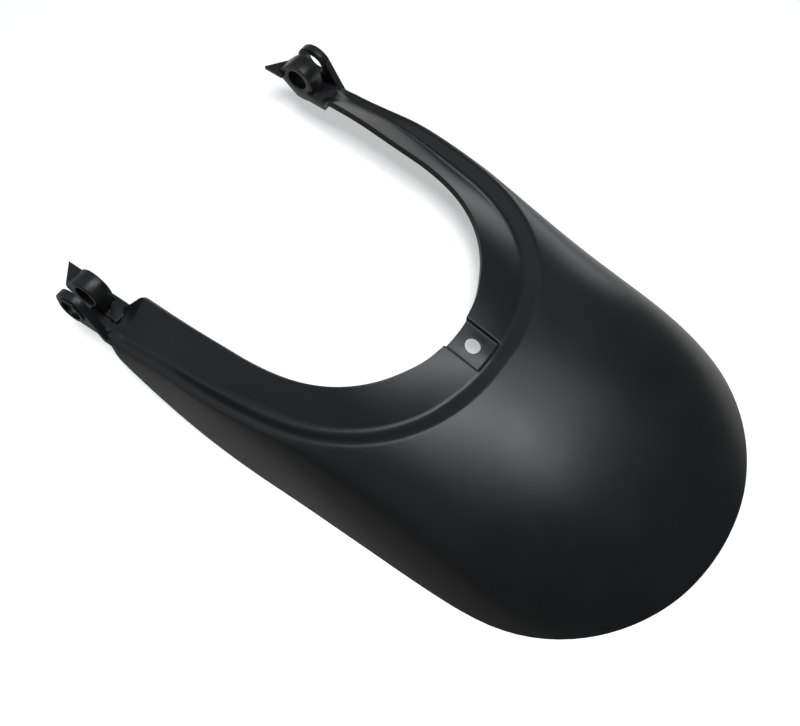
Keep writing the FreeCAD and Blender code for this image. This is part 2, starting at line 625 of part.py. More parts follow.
# Both clips, the left one mirrored
clip_right = doc.addObject("Part::MultiFuse", "ClipRight")
clip_right.Shapes = [eye_body, ear_body, collar, fin_body, root_block, slot_floor, web_body]
clip_left = doc.addObject("Part::Mirroring", "ClipLeft")
clip_left.Source = clip_right
clip_left.Normal = Vector(1, 0, 0)

# One moulding
whole = doc.addObject("Part::MultiFuse", "Whole")
whole.Shapes = [shell, pad_plate, clip_right, clip_left]
cutters = doc.addObject("Part::MultiFuse", "Cutters")
cutters.Shapes = [pad_recess, pad_front, pad_hole]
pierced = doc.addObject("Part::Cut", "Pierced")
pierced.Base = whole
pierced.Tool = cutters
mudguard = doc.addObject("Part::Cut", "Mudguard")
mudguard.Base = pierced
mudguard.Tool = rim_cut
mudguard.Label = "mudguard"
doc.recompute()

for obj in doc.Objects:
    if "Invalid" in obj.State or "Error" in obj.State:
        raise RuntimeError("object %s is not valid: %s" % (obj.Label, obj.State))
    if hasattr(obj, "Shape") and obj.isDerivedFrom("Part::Feature"):
        if obj.Shape.isNull() or not obj.Shape.isValid():
            raise RuntimeError("shape of %s is not valid" % obj.Label)
if len(mudguard.Shape.Solids) != 1:
    raise RuntimeError("the moulding is not one solid")

os.makedirs("parts", exist_ok=True)
mudguard.Shape.exportStep("parts/mudguard.step")
print("mudguard", round(mudguard.Shape.Volume), mudguard.Shape.BoundBox)
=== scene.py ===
"""Looks of the motorcycle mudguard: a satin black moulding on a pale floor."""
import logging
import math
from dataclasses import dataclass, field
from enum import Enum

import bmesh
import bpy
from mathutils import Matrix, Vector


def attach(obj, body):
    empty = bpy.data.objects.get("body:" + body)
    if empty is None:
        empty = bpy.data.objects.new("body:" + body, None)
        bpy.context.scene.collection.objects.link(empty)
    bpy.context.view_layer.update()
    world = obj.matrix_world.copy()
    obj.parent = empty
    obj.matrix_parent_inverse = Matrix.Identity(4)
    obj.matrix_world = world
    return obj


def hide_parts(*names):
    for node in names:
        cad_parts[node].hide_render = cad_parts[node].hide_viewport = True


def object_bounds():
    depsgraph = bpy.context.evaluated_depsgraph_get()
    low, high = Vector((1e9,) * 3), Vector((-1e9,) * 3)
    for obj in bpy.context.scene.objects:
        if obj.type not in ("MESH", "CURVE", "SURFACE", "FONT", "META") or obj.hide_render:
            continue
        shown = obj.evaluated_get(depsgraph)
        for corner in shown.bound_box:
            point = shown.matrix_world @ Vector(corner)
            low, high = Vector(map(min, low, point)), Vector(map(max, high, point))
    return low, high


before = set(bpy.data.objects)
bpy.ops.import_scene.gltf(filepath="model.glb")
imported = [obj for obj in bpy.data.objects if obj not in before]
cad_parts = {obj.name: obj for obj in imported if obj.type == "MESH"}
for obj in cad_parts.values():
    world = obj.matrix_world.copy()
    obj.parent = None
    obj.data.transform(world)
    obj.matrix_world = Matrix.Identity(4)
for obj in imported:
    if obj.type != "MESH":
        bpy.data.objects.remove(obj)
cad_low, cad_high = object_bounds()

LOG = logging.getLogger("mudguard")
MM = 0.001
BODY = "root"
NODE = "mudguard"

Flat = tuple[float, float]
Triple = tuple[float, float, float]


class Side(Enum):
    """Which side of the middle plane a piece is on."""

    LEFT = -1
    RIGHT = 1


def smooth_step(x: float, start: float, end: float) -> float:
    """Smooth rise from 0 at start to 1 at end."""
    f = min(1.0, max(0.0, (x - start) / (end - start)))
    return f * f * (3 - 2 * f)


def mix(a: float, b: float, w: float) -> float:
    """Straight mix of two values."""
    return a + (b - a) * w


def lerp(p: Flat, q: Flat, w: float) -> Flat:
    """Straight mix of two section points."""
    return (mix(p[0], q[0], w), mix(p[1], q[1], w))


def heading(p: Flat, q: Flat) -> Flat:
    """Unit direction from one section point to another."""
    d = math.dist(p, q)
    return ((q[0] - p[0]) / d, (q[1] - p[1]) / d)


def along(p: Flat, d: Flat, length: float) -> Flat:
    """Section point moved along a direction."""
    return (p[0] + d[0] * length, p[1] + d[1] * length)


def crossing(p: Flat, d: Flat, q: Flat, e: Flat) -> Flat:
    """Where two lines of the section plane meet."""
    det = d[0] * -e[1] + e[0] * d[1]
    return along(p, d, ((q[0] - p[0]) * -e[1] + e[0] * (q[1] - p[1])) / det)


def cubic(poles: list[Flat], t: float) -> Flat:
    """Point of a cubic curve given by four poles."""
    s = 1 - t
    weights = (s ** 3, 3 * s * s * t, 3 * s * t * t, t ** 3)
    across = sum(w * p[0] for w, p in zip(weights, poles))
    up = sum(w * p[1] for w, p in zip(weights, poles))
    return (across, up)


def corner_round(before: Flat, corner: Flat, after: Flat, radius: float) -> list[Flat]:
    """Poles of a round put on a corner of the section.

    Args:
        before: a point on the run into the corner.
        corner: the corner itself.
        after: a point on the run out of the corner.
        radius: radius of the round.

    Returns:
        Four poles of a cubic curve, touching both runs.
    """
    into = heading(before, corner)
    out = heading(corner, after)
    bend = math.acos(max(-1.0, min(1.0, into[0] * out[0] + into[1] * out[1])))
    reach = radius * math.tan(bend / 2)
    handle = 4.0 / 3.0 * math.tan(bend / 4) * radius
    a = along(corner, into, -reach)
    d = along(corner, out, reach)
    return [a, along(a, into, handle), along(d, out, -handle), d]


def rectangle(low: Flat, high: Flat) -> list[Flat]:
    """Outline of a rectangle between two of its corners."""
    return [low, (high[0], low[1]), high, (low[0], high[1])]


def drawn_out(bm: bmesh.types.BMesh, ring: list[bmesh.types.BMEdge]
              ) -> tuple[set[bmesh.types.BMVert], list[bmesh.types.BMEdge]]:
    """Draw a ring of edges out into a new ring.

    Args:
        bm: the mesh.
        ring: edges of the ring.

    Returns:
        The new vertices and the edges of the new ring.
    """
    made = bmesh.ops.extrude_edge_only(bm, edges=ring)["geom"]
    fresh = {g for g in made if isinstance(g, bmesh.types.BMVert)}
    edges = [g for g in made if isinstance(g, bmesh.types.BMEdge) and fresh.issuperset(g.verts)]
    return fresh, edges


def finished_object(name: str, bm: bmesh.types.BMesh, sharp: float) -> bpy.types.Object:
    """Turn a bmesh into a smooth-shaded object of the part.

    Args:
        name: name of the piece.
        bm: its mesh, in the frame of the part; freed here.
        sharp: edges that bend more than this angle stay sharp.

    Returns:
        The new object, riding on the body.
    """
    mesh = bpy.data.meshes.new(name)
    bm.to_mesh(mesh)
    bm.free()
    mesh.polygons.foreach_set("use_smooth", [True] * len(mesh.polygons))
    mesh.set_sharp_from_angle(angle=sharp)
    piece = bpy.data.objects.new(name, mesh)
    bpy.context.scene.collection.objects.link(piece)
    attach(piece, BODY)
    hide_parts(NODE)
    LOG.info("%s: %d vertices, %d faces", name, len(mesh.vertices), len(mesh.polygons))
    return piece


@dataclass
class Section:
    """One cross-section of the skin in an upright plane.

    The flange edge, the valley, the ridge and the rim are points of that plane, as
    distance from the origin and height.
    """

    origin: Vector
    out: Vector
    edge: Flat
    valley: Flat
    ridge: Flat
    rim: Flat
    lean: float
    swell: float
    spread: float = 0.0
    crown: float = 0.0
    straight: float = 0.0
    pad_top: bool = False
    pad_under: bool = False

    def at(self, point: Flat, straight_at: float | None = None) -> Vector:
        """Point of the section in space, kept parallel to the pad where asked."""
        u, z = point
        place = self.origin + self.out * u
        if straight_at is not None:
            place.x = mix(place.x, self.out.x * straight_at, self.straight)
        return place + Vector((0, 0, z))


@dataclass
class Skin:
    """The moulded skin: flange, joggled step, ridge and dome, with the screw pad."""

    wall: float = 2.5 * MM
    rim_width: float = 172.0 * MM
    tail_length: float = 112.8 * MM
    tail_round: float = 74.8 * MM
    step_width: float = 6.0 * MM
    step_width_arm: float = 3.4 * MM
    flange_tail: float = 18.4 * MM
    flange_arm: float = 10.7 * MM
    flange_crown: float = 0.25 * MM
    opening_depth: float = 118.8 * MM
    opening_round: float = 64.3 * MM
    shoulder_inset: float = 5.0 * MM
    ridge_splay: float = 2.0 * MM
    edge_splay: float = 0.7 * MM
    edge_pinch: float = 1.7 * MM
    edge_dip: float = 1.7 * MM
    arm_bow: float = 1.2 * MM
    ridge_fullness: float = 2.27
    edge_rise_tail: float = 46.3 * MM
    edge_rise_arm: float = 50.6 * MM
    valley_rise_tail: float = 41.7 * MM
    valley_rise_arm: float = 38.3 * MM
    valley_rise_end: float = 41.0 * MM
    ridge_rise_tail: float = 42.3 * MM
    ridge_rise_arm: float = 41.4 * MM
    ridge_rise_end: float = 37.5 * MM
    valley_radius: float = 5.0 * MM
    valley_radius_arm: float = 2.5 * MM
    ridge_radius: float = 5.0 * MM
    tail_steepness: float = 0.21
    side_steepness: float = 0.90
    rim_taper: float = 0.5
    sweep_length: float = 96.5 * MM
    sweep_rise: float = 30.0 * MM
    neck_length: float = 5.0 * MM
    shelf_rise: float = 41.5 * MM
    clip_inner: float = 69.2 * MM
    pad_width: float = 16.0 * MM
    pad_depth: float = 1.1 * MM
    pad_setback: float = 1.0 * MM
    screw_hole: float = 7.0 * MM
    hole_lip: float = 0.4 * MM
    hole_flare: float = 0.5 * MM
    hole_edge: float = 0.35 * MM
    edge_round: float = 0.55 * MM
    ramp_lead: float = 20.0 * MM
    ramp_end: float = 4.0 * MM
    spread_end: float = 14.0 * MM
    edge_climb_end: float = 8.0 * MM
    pinch_start: float = 12.0 * MM
    pinch_lead: float = 4.0 * MM
    pinch_release: float = 42.0 * MM
    ridge_drop_lead: float = 40.0 * MM
    ridge_drop_end: float = 2.0 * MM
    fade_lead: float = 5.0 * MM
    draw_lead: float = 2.0 * MM
    draw_end: float = 4.0 * MM
    rim_tuck: float = 2.0 * MM
    tuck_lead: float = 4.0 * MM
    neck_lead: float = 5.5 * MM
    neck_wall: float = 1.0 * MM
    valley_gap: float = 0.3 * MM
    shelf_lip: float = 0.4 * MM
    shelf_share: float = 0.45
    end_zone: float = 9.0 * MM
    bend_angles: tuple[float, ...] = (10.5, 14, 19, 25, 31, 37, 43, 49, 55, 61, 67, 73, 79, 85)
    arm_steps: int = 9
    end_steps: int = 10
    tip_y: float = field(init=False)
    edge_y: float = field(init=False)
    round_y: float = field(init=False)
    flange_end_y: float = field(init=False)
    arm_end_y: float = field(init=False)

    FLANGE_ROWS = (0.0, 0.03, 0.19, 0.34, 0.4825, 0.625, 0.775, 0.93, 0.965, 1.0)
    PAD_REAR = 0.965
    HOLE_ROWS = (2, 6)
    HOLE_REACH = 4.2
    HOLE_SEGMENTS = 16
    HOLLOW_ROWS = (0.33, 0.67, 1.0)
    CREST_ROWS = (0.0, 0.25, 0.5, 0.75, 1.0)
    DOME_ROWS = (0.08, 0.18, 0.29, 0.40, 0.51, 0.62, 0.73, 0.84, 0.93, 0.985, 1.0)

    def __post_init__(self) -> None:
        """Work out the places along the piece from the frame and the sizes."""
        self.tip_y = cad_low.y
        self.edge_y = self.tip_y + self.tail_length + self.step_width + self.flange_tail
        self.round_y = self.edge_y + self.opening_round
        self.flange_end_y = self.edge_y + self.opening_depth
        self.arm_end_y = self.flange_end_y + self.neck_length
        self.ridge_half = self.rim_width / 2 - self.shoulder_inset
        self.ridge_depth = self.opening_round + self.flange_tail + self.step_width
        self.opening_half = self.ridge_half - self.step_width - self.flange_arm
        self.lift_y = self.flange_end_y - self.sweep_length
        self.pad_line = self.opening_round + self.flange_tail / 2

    def oval(self, angle: float, half: float, depth: float, power: float) -> float:
        """Distance from the centre of the opening to a full ellipse."""
        across = abs(math.sin(angle)) / half
        down = abs(math.cos(angle)) / depth
        return (across ** power + down ** power) ** (-1 / power)

    def rim_reach(self, angle: float) -> float:
        """Distance from the centre of the opening to the rim in plan."""
        s = abs(math.sin(angle))
        c = math.cos(angle)
        half = self.rim_width / 2
        ellipse_y = self.tip_y + self.tail_round
        if s > 1e-9 and self.round_y - half / s * c >= ellipse_y:
            return half / s
        lead = self.round_y - ellipse_y
        a = (s / half) ** 2 + (c / self.tail_round) ** 2
        b = -2 * lead * c / self.tail_round ** 2
        k = (lead / self.tail_round) ** 2 - 1
        return (-b + math.sqrt(b * b - 4 * a * k)) / (2 * a)

    def rim_lift(self, y: float) -> float:
        """Height of the lower edge at a place along an arm."""
        radius = (self.sweep_length ** 2 + self.sweep_rise ** 2) / (2 * self.sweep_rise)
        run = min(max(0.0, y - self.lift_y), 0.98 * radius)
        lift = radius - math.sqrt(radius ** 2 - run ** 2)
        top = self.ridge_rise_end - self.wall - self.neck_wall
        neck = smooth_step(y, self.flange_end_y - self.neck_lead, self.arm_end_y)
        return mix(min(lift, top), top, neck)

    def arm_spread(self, y: float) -> float:
        """How far the section has changed from the bend to the arm."""
        return smooth_step(y, self.round_y - self.ramp_lead, self.round_y + self.spread_end)

    def section(self, side: Side, angle: float | None = None, y: float = 0.0) -> Section:
        """One section, at an angle round the opening or at a place along an arm.

        Args:
            side: which side of the middle plane.
            angle: angle round the centre of the opening, or None on an arm.
            y: place along the arm, where there is no angle.

        Returns:
            The section with its four leading points.
        """
        if angle is not None:
            origin = Vector((0, self.round_y, 0))
            out = Vector((side.value * math.sin(angle), -math.cos(angle), 0))
            edge = self.oval(angle, self.opening_half, self.opening_round, 2.0)
            ridge = self.oval(angle, self.ridge_half, self.ridge_depth, self.ridge_fullness)
            spread = self.arm_spread(self.round_y - ridge * math.cos(angle))
            edge += self.edge_splay * spread
            rim = self.rim_reach(angle)
            place = self.round_y - edge * math.cos(angle)
            rim_place = self.round_y - rim * math.cos(angle)
            turn = math.sin(angle)
            lean = smooth_step(angle, 0.0, math.radians(62))
            swell = math.sin(2 * angle) ** 2
        else:
            origin = Vector((0, y, 0))
            out = Vector((side.value, 0, 0))
            spread = self.arm_spread(y)
            edge = self.opening_half + self.edge_splay * spread
            ridge = self.ridge_half
            rim = self.rim_width / 2
            place = rim_place = y
            turn = lean = 1.0
            swell = 0.0
        ridge += self.ridge_splay * spread
        end = self.flange_end_y
        edge_z = mix(self.edge_rise_tail, self.edge_rise_arm,
                     smooth_step(place, self.edge_y, self.round_y + self.edge_climb_end))
        pinch = (smooth_step(place, self.edge_y + self.pinch_start, self.round_y - self.pinch_lead)
                 * (1 - smooth_step(place, self.round_y, self.round_y + self.pinch_release)))
        edge -= self.edge_pinch * pinch
        edge_z -= self.edge_dip * pinch
        ease = smooth_step(place, self.round_y - self.ramp_lead, end - self.ramp_end)
        valley_bend_z = mix(self.valley_rise_tail, self.valley_rise_arm, turn)
        valley_z = mix(valley_bend_z, self.valley_rise_end, ease)
        ridge_bend_z = mix(self.ridge_rise_tail, self.ridge_rise_arm, turn ** 2)
        ridge_z = mix(ridge_bend_z, self.ridge_rise_end,
                      smooth_step(place, end - self.ridge_drop_lead, end - self.ridge_drop_end))
        valley = ridge - mix(self.step_width, self.step_width_arm, ease)
        valley_low = min(valley_z, ridge_z - self.valley_gap)
        valley_end = mix(ridge_z, self.shelf_rise, self.shelf_share)
        fade = smooth_step(place, end - self.fade_lead, self.arm_end_y)
        draw = smooth_step(place, end - self.draw_lead, end + self.draw_end)
        lifted = (rim_place - self.lift_y) / (self.arm_end_y - self.lift_y)
        bow = math.sin(math.pi * min(1.0, max(0.0, lifted)))
        tuck = self.rim_tuck * smooth_step(rim_place, end - self.tuck_lead, self.arm_end_y)
        turned = 90.0 if angle is None else math.degrees(angle)
        return Section(
            origin=origin, out=out,
            edge=(mix(edge, self.clip_inner, draw), mix(edge_z, self.shelf_rise + self.shelf_lip, fade)),
            valley=(valley, mix(valley_low, valley_end, fade)),
            ridge=(ridge, ridge_z),
            rim=(rim + self.arm_bow * bow - tuck, self.rim_lift(rim_place)),
            lean=lean, swell=swell, spread=spread, crown=self.flange_crown * (1 - spread),
            straight=1.0 - smooth_step(turned, 9.0, 25.0),
            pad_top=turned < self.pad_turn(-0.2 * MM),
            pad_under=turned < self.pad_turn(self.wall),
        )

    def pad_turn(self, extra: float) -> float:
        """Angle of the pad's side wall, in degrees, moved outwards by extra."""
        return math.degrees(math.asin((self.pad_width / 2 + extra) / self.pad_line)) + 0.01

    def face_points(self, section: Section, drop: float) -> list[Vector]:
        """Points of one face of the skin, from the flange edge out to the rim.

        Args:
            section: the cross-section.
            drop: 0 for the outer face, or the wall for the inner face.

        Returns:
            The points in space, the same number on every section.
        """
        edge, valley, ridge, rim = section.edge, section.valley, section.ridge, section.rim
        chord = math.atan2(ridge[1] - rim[1], rim[0] - ridge[0])
        steep = mix(self.tail_steepness, self.side_steepness, section.lean)
        stand = chord + (math.pi / 2 - chord) * steep
        least = math.atan2(valley[1] - ridge[1], ridge[0] - valley[0]) + 0.05
        fall = min(max(chord * mix(0.45, 0.36, section.lean), least), 0.9 * chord)
        leave = (math.cos(fall), -math.sin(fall))
        arrive = (math.cos(stand), -math.sin(stand))
        flange = heading(edge, valley)
        rise = heading(valley, ridge)

        def moved(p: Flat, d: Flat) -> Flat:
            """Point moved down square to a run by the skin thickness."""
            return (p[0] + d[1] * drop, p[1] - d[0] * drop)

        start = moved(edge, flange)
        low = crossing(start, flange, moved(valley, rise), rise)
        top = crossing(low, rise, moved(ridge, leave), leave)
        foot = (rim[0] - self.rim_taper * drop / math.sin(stand), rim[1])
        hollow_radius = mix(self.valley_radius, self.valley_radius_arm, section.spread) + drop
        hollow = corner_round(start, low, top, hollow_radius)
        crest = corner_round(low, top, along(top, leave, 1.0), self.ridge_radius - drop)
        knee = crossing(crest[3], leave, foot, arrive)
        bow = 0.56 + 0.16 * section.swell
        dome = [crest[3], lerp(crest[3], knee, bow), lerp(foot, knee, bow), foot]
        lowered = section.pad_under if drop else section.pad_top
        across = self.flange_points(start, hollow[0], flange, section.crown, lowered)
        points = [section.at(p, self.pad_line) for p in across]
        points += [section.at(cubic(hollow, t), self.pad_line) for t in self.HOLLOW_ROWS]
        points += [section.at(cubic(crest, t)) for t in self.CREST_ROWS]
        points += [section.at(cubic(dome, t)) for t in self.DOME_ROWS]
        return points

    def flange_points(self, start: Flat, end: Flat, run: Flat, crown: float,
                      lowered: bool) -> list[Flat]:
        """Points across the crowned flange, sunk and flat on the screw pad where asked.

        Args:
            start: the flange edge.
            end: where the flange runs into the valley.
            run: direction from one to the other.
            crown: how far the middle stands proud.
            lowered: whether the section crosses the screw pad.

        Returns:
            One point for each row of the flange.
        """
        length = math.dist(start, end)
        points = []
        for share in self.FLANGE_ROWS:
            if not lowered or share > self.PAD_REAR:
                rise = 4 * crown * share * (1 - share)
                on_face = along(start, run, share * length)
                points.append((on_face[0] - run[1] * rise, on_face[1] + run[0] * rise))
                continue
            rear = self.PAD_REAR * length
            reach = self.pad_setback + (rear - self.pad_setback) * share / self.PAD_REAR
            on_face = along(start, run, reach)
            points.append((on_face[0] + run[1] * self.pad_depth, on_face[1] - run[0] * self.pad_depth))
        return points

    def loop(self, section: Section) -> list[Vector]:
        """Closed loop of the skin at one section, with support points at its corners."""
        upper = self.face_points(section, 0.0)
        lower = list(reversed(self.face_points(section, self.wall)))
        return upper + self.supports(upper[-1], lower[0]) + lower + self.supports(lower[-1], upper[0])

    def supports(self, a: Vector, b: Vector) -> list[Vector]:
        """Points near both ends of a narrow edge face, which keep its corners tight."""
        share = self.edge_round / (b - a).length
        return [a.lerp(b, share), a.lerp(b, 1 - share)]

    def sections(self) -> list[Section]:
        """All sections, from the left arm's end round the bend to the right one's."""
        inside = [self.pad_turn(-0.8 * MM) - 0.02, self.pad_turn(-0.2 * MM) - 0.02]
        outside = [self.pad_turn(0.2 * MM), self.pad_turn(0.9 * MM),
                   self.pad_turn(self.wall) - 0.02, self.pad_turn(self.wall + 0.4 * MM)]
        degrees = [self.HOLE_REACH / 2, self.HOLE_REACH] + inside + outside + list(self.bend_angles)
        zone_y = self.flange_end_y - self.end_zone
        straight = zone_y - self.round_y
        places = [self.round_y + straight * i / self.arm_steps for i in range(self.arm_steps)]
        tail = self.arm_end_y - zone_y
        places += [zone_y + tail * i / self.end_steps for i in range(self.end_steps + 1)]
        half = {}
        for side in Side:
            half[side] = [self.section(side, math.radians(d)) for d in degrees]
            half[side] += [self.section(side, y=y) for y in places]
        middle = self.section(Side.RIGHT, 0.0)
        return list(reversed(half[Side.LEFT])) + [middle] + half[Side.RIGHT]

    def loft(self, loops: list[list[Vector]]) -> bmesh.types.BMesh:
        """Skin drawn out from its first loop through all the others.

        Args:
            loops: loops of points, equally long.

        Returns:
            A closed mesh whose vertices know their row and column.
        """
        bm = bmesh.new()
        row = bm.verts.layers.int.new("row")
        column = bm.verts.layers.int.new("column")
        first = [bm.verts.new(p) for p in loops[0]]
        for i, vert in enumerate(first):
            vert[row] = i
        ring = [bm.edges.new((a, b)) for a, b in zip(first, first[1:] + first[:1])]
        for number, points in enumerate(loops[1:], start=1):
            fresh, ring = drawn_out(bm, ring)
            for vert in fresh:
                vert.co = points[vert[row]]
                vert[column] = number
        bmesh.ops.holes_fill(bm, edges=[e for e in bm.edges if e.is_boundary], sides=0)
        return bm

    def drill(self, bm: bmesh.types.BMesh, middle: int) -> None:
        """Open the screw hole in the pad and line it.

        Args:
            bm: the skin.
            middle: column of the middle section.
        """
        row = bm.verts.layers.int["row"]
        column = bm.verts.layers.int["column"]
        low, high = self.HOLE_ROWS
        upper_rows = set(range(low, high + 1))
        face_rows = sum(map(len, (self.FLANGE_ROWS, self.HOLLOW_ROWS, self.CREST_ROWS, self.DOME_ROWS)))
        lower_last = 2 * face_rows + 1
        lower_rows = {lower_last - r for r in upper_rows}
        columns = set(range(middle - 2, middle + 3))
        windows = []
        centres = []
        for wanted in (upper_rows, lower_rows):
            faces = [f for f in bm.faces
                     if all(v[row] in wanted and v[column] in columns for v in f.verts)]
            border = [e for f in faces for e in f.edges if sum(g in faces for g in e.link_faces) == 1]
            verts = {v for f in faces for v in f.verts}
            hub = [v.co.copy() for v in verts if v[column] == middle and v[row] == sorted(wanted)[2]][0]
            centres.append(hub)
            windows.append(border)
            bmesh.ops.delete(bm, geom=faces, context="FACES")
        axis = (centres[0] - centres[1]).normalized()
        turn = Vector((0, 0, 1)).rotation_difference(axis).to_matrix().to_4x4()
        spare = 3 / (2 + math.cos(2 * math.pi / self.HOLE_SEGMENTS))
        radius = self.screw_hole / 2 * spare
        lip = self.hole_edge
        made = bmesh.ops.create_circle(bm, cap_ends=False, radius=radius + lip, segments=self.HOLE_SEGMENTS,
                                       matrix=Matrix.Translation(centres[0]) @ turn)
        circle = list({e for v in made["verts"] for e in v.link_edges})
        bmesh.ops.bridge_loops(bm, edges=windows[0] + circle)
        wide = radius + self.hole_flare
        rings = [(centres[0], radius), (centres[0] - axis * lip, radius),
                 (centres[0] - axis * (lip + self.hole_lip), radius), (centres[1] + axis * lip, wide),
                 (centres[1], wide), (centres[1], wide + lip)]
        before = centres[0]
        for centre, reach in rings:
            fresh, circle = drawn_out(bm, circle)
            for vert in fresh:
                vert.co = centre + (vert.co - before).normalized() * reach
            before = centre
        bmesh.ops.bridge_loops(bm, edges=circle + windows[1])

    def build(self) -> bpy.types.Object:
        """Build the skin with its pad, hole and rounded edges.

        Returns:
            The finished object.
        """
        sections = self.sections()
        loops = [self.loop(s) for s in sections]
        bm = self.loft(loops)
        self.drill(bm, len(sections) // 2)
        bmesh.ops.recalc_face_normals(bm, faces=bm.faces)
        skin = finished_object("mudguard_skin", bm, math.radians(180))
        rounding = skin.modifiers.new("rounding", "SUBSURF")
        rounding.levels = 2
        rounding.render_levels = 2
        return skin


@dataclass
class Clip:
    """The moulded end of an arm: bored eye, fin, slot and outer ear with a collar."""

    bore_y: float = 128.45 * MM
    bore_rise: float = 45.5 * MM
    inner: float = 69.2 * MM
    eye_length: float = 8.2 * MM
    eye_diameter: float = 17.0 * MM
    bore: float = 10.4 * MM
    keel_drop: float = 11.5 * MM
    keel_length: float = 4.0 * MM
    nose_reach: float = 11.3 * MM
    fin_reach: float = 18.4 * MM
    fin_drop: float = 0.6 * MM
    fin_width: float = 2.5 * MM
    slot_width: float = 4.2 * MM
    ear_width: float = 3.6 * MM
    ear_diameter: float = 17.6 * MM
    ear_slope_reach: float = 16.3 * MM
    ear_root_gap: float = 0.3 * MM
    ear_root_top: float = 1.7 * MM
    ear_root_low: float = 3.8 * MM
    ear_heel: float = 1.7 * MM
    ear_under_reach: float = 4.3 * MM
    ear_under_rise: float = 0.4 * MM
    collar_diameter: float = 13.4 * MM
    collar_width: float = 1.0 * MM
    collar_seat: float = 0.6 * MM
    floor_drop: float = 8.6 * MM
    floor_length: float = 12.5 * MM
    floor_start: float = 2.0 * MM
    floor_root: float = 2.0 * MM
    floor_overlap: float = 1.0 * MM
    floor_height: float = 2.0 * MM
    block_start: float = 5.0 * MM
    block_root: float = 1.0 * MM
    block_overlap: float = 2.0 * MM
    block_drop: float = 3.4 * MM
    block_height: float = 3.5 * MM
    bar_width: float = 2.7 * MM
    bar_inset: float = 1.5 * MM
    web_reach: float = 9.5 * MM
    web_start: float = 0.1 * MM
    web_root: float = 3.0 * MM
    web_lip: float = 0.4 * MM
    web_extra: float = 2.0 * MM
    keel_offset: float = 1.2 * MM
    fin_root: float = 3.0 * MM
    reach: float = 19.3 * MM
    root_gap: float = 2.0 * MM
    neck_length: float = 5.0 * MM
    gusset_reach: float = 8.0 * MM
    fine_round: float = 0.35 * MM
    ear_round: float = 1.0 * MM
    arc_steps: int = 40

    def plate(self, bm: bmesh.types.BMesh, outline: list[Flat], axis: str, base: Vector, depth: float,
              hole: float, edge_round: float) -> None:
        """Add one plate of the clip.

        Args:
            bm: mesh to add to.
            outline: closed outline in the plane across the axis.
            axis: "X" for an outline in Y and Z, "Z" for one in X and Y.
            base: where the outline's origin is.
            depth: thickness along the axis.
            hole: diameter of a round hole at the origin, or 0.
            edge_round: size of the bevel on its edges.
        """
        work = bmesh.new()
        turn = Matrix(((0, 0, 1), (1, 0, 0), (0, 1, 0))).to_4x4() if axis == "X" else Matrix.Identity(4)
        verts = [work.verts.new((u, v, 0)) for u, v in outline]
        edges = [work.edges.new((a, b)) for a, b in zip(verts, verts[1:] + verts[:1])]
        if hole:
            made = bmesh.ops.create_circle(work, cap_ends=False, radius=hole / 2,
                                           segments=self.arc_steps * 2)
            edges += list({e for v in made["verts"] for e in v.link_edges})
            bmesh.ops.triangle_fill(work, edges=edges, use_beauty=True)
        else:
            bmesh.ops.contextual_create(work, geom=edges)
        made = bmesh.ops.extrude_face_region(work, geom=work.faces[:])["geom"]
        raised = [g for g in made if isinstance(g, bmesh.types.BMVert)]
        bmesh.ops.translate(work, vec=(0, 0, depth), verts=raised)
        bmesh.ops.recalc_face_normals(work, faces=work.faces)
        bmesh.ops.dissolve_limit(work, angle_limit=math.radians(1), verts=work.verts[:],
                                 edges=work.edges[:])
        hard = [e for e in work.edges if e.is_manifold and e.calc_face_angle() > math.radians(40)]
        bmesh.ops.bevel(work, geom=hard, offset=edge_round, offset_type="OFFSET", segments=3, profile=0.5,
                        affect="EDGES", clamp_overlap=True, material=-1)
        bmesh.ops.transform(work, matrix=Matrix.Translation(base) @ turn, verts=work.verts[:])
        mesh = bpy.data.meshes.new("plate")
        work.to_mesh(mesh)
        work.free()
        bm.from_mesh(mesh)
        bpy.data.meshes.remove(mesh)

    def touch(self, foot: Flat, radius: float, turn: int) -> float:
        """Angle at which a run from the foot touches the round about the bore."""
        return math.atan2(foot[1], foot[0]) + turn * math.acos(radius / math.hypot(*foot))

    def round_end(self, front: Flat, back: Flat, radius: float) -> list[Flat]:
        """Points of the round about the bore, from its front run to its back run."""
        start = self.touch(front, radius, 1)
        stop = self.touch(back, radius, -1)
        if stop < start:
            stop += 2 * math.pi
        angles = [mix(start, stop, i / self.arc_steps) for i in range(self.arc_steps + 1)]
        return [(radius * math.cos(a), radius * math.sin(a)) for a in angles]

    def eye_outline(self) -> list[Flat]:
        """Side view of the eye, its foot and the bar behind it."""
        root = self.reach - self.root_gap
        bar_top = self.floor_drop - self.bar_width
        nose = (self.nose_reach, -self.fin_drop)
        foot = (-self.web_reach, -bar_top)
        run = [(-root, -bar_top), (-root, -self.floor_drop),
               (-self.keel_length / 2 - self.keel_offset, -self.keel_drop),
               (self.keel_length / 2 - self.keel_offset, -self.keel_drop),
               (nose[0], nose[1] - self.fin_width), nose]
        return run + self.round_end(nose, foot, self.eye_diameter / 2) + [foot]

    def ear_outline(self) -> list[Flat]:
        """Side view of the outer ear and its sloped root."""
        root = self.reach - self.ear_root_gap
        top = -self.floor_drop - self.ear_root_top
        low = -self.floor_drop - self.ear_root_low
        slope = (-self.ear_slope_reach, top)
        under = (-self.ear_slope_reach + self.ear_under_reach, -self.floor_drop + self.ear_under_rise)
        run = [slope, (-root, top), (-root, low), (-self.ear_slope_reach + self.ear_heel, low), under]
        return run + self.round_end(under, slope, self.ear_diameter / 2)

